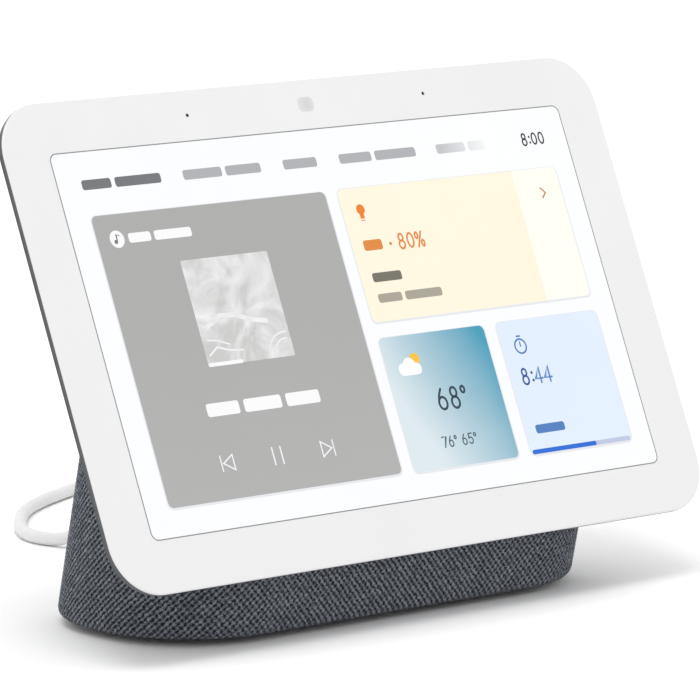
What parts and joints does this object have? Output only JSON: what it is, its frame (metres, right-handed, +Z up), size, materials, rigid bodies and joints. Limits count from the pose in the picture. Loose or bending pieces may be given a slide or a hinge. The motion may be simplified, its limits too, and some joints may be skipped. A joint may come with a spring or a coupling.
{
  "type": "smart display",
  "caption": "Tabletop smart display: white-bordered touch panel leaning back on a charcoal fabric speaker base, with a white power lead coiled behind it.",
  "frame": {"origin": "middle of the bottom of the display's box, on the surface it stands on, without the lead", "axes": "+X to the right seen from the front, along the panel's width; +Y to the rear; +Z up"},
  "size_m": [0.1848, 0.1864, 0.1194],
  "materials": {
    "bezel_white": "white-backed cover glass, satin",
    "housing_grey": "fine moulded texture, satin",
    "fabric_charcoal": "charcoal knit with lighter threads",
    "base_plastic": "moulded, matt",
    "foot_rubber": "matt silicone",
    "button_grey": "satin",
    "cord_white": "soft white jacket, satin",
    "adapter_white": "white moulded, satin",
    "tie_white": "hook and loop strap",
    "blade_metal": "nickel-plated",
    "screw_steel": "zinc-plated",
    "sheet_steel": "bright pressed sheet",
    "spreader_alu": "mill finish",
    "magnesium": "glass-filled moulding",
    "board_green": "solder mask",
    "flex_amber": "polyimide",
    "socket_ivory": "moulded",
    "component_black": "moulded",
    "lcd_dark": "display cell",
    "film_clear": "clear film",
    "lens_clear": "diffusing window",
    "foam_black": "foam",
    "cone_black": "treated paper",
    "spider_cloth": "resin-treated cloth",
    "coil_copper": "enamelled copper on a former",
    "ferrite": "sintered"
  },
  "bodies": {
    "root": {"cover_glass": "bezel_white", "panel_adhesive": "foam_black", "touch_sensor": "film_clear", "lcd_cell": "lcd_dark", "backlight_unit": "sheet_steel", "mid_frame": "magnesium", "mic_boards": "board_green", "mic_boots": "foot_rubber", "sensor_window": "lens_clear", "sensor_board": "board_green", "main_board": "board_green", "board_screws": "screw_steel", "shield_cans": "sheet_steel", "heat_spreader": "spreader_alu", "board_connectors": "socket_ivory", "antennas": "board_green", "mute_switch": "component_black", "display_flex": "flex_amber", "base_cable": "flex_amber", "rear_housing": "housing_grey", "rocker_pin": "screw_steel", "rocker_bracket": "base_plastic", "button_board": "board_green", "tact_switches": "component_black", "fabric_sleeve": "fabric_charcoal", "base_shell": "base_plastic", "base_plate": "base_plastic", "base_screws": "screw_steel", "foot_pad": "foot_rubber", "power_board": "board_green", "power_board_screws": "screw_steel", "power_components": "component_black", "dc_jack": "component_black", "jack_trim": "base_plastic", "neck_gasket": "foam_black", "neck_plate": "sheet_steel", "neck_screws": "screw_steel", "speaker_gasket": "foam_black", "speaker_basket": "base_plastic", "speaker_screws": "screw_steel", "speaker_surround": "foot_rubber", "speaker_spider": "spider_cloth", "speaker_top_plate": "sheet_steel", "speaker_magnet": "ferrite", "speaker_yoke": "sheet_steel", "dc_plug": "adapter_white", "plug_strain_relief": "cord_white", "power_cord": "cord_white", "power_cord_tail": "cord_white", "power_cord_coil": "cord_white", "coil_tie": "tie_white", "adapter_case": "adapter_white", "adapter_lid": "adapter_white", "adapter_blades": "blade_metal", "adapter_strain_relief": "cord_white"},
    "volume_rocker": {"volume_rocker": "button_grey"},
    "mute_slider": {"mute_slider": "button_grey"},
    "speaker_cone": {"speaker_cone": "cone_black", "dust_cap": "cone_black", "voice_coil": "coil_copper"}
  },
  "joints": [
    {"name": "volume_rocker_tilt", "type": "hinge", "parent": "root", "child": "volume_rocker", "pos_m": [0.07607, -0.00031, 0.07611], "axis": [-0.9719, 0.2159, -0.0942], "range_deg": [-2, 2], "stiffness_Nm_per_rad": 0.4},
    {"name": "mute_slide", "type": "slide", "parent": "root", "child": "mute_slider", "axis": [1, 0, 0], "range_m": [0, 0.0025]},
    {"name": "speaker_cone_travel", "type": "slide", "parent": "root", "child": "speaker_cone", "axis": [0, 0.9741, 0.226], "range_m": [-0.001, 0.001], "stiffness_N_per_m": 600, "deforming": ["speaker_surround", "speaker_spider"]}
  ]
}
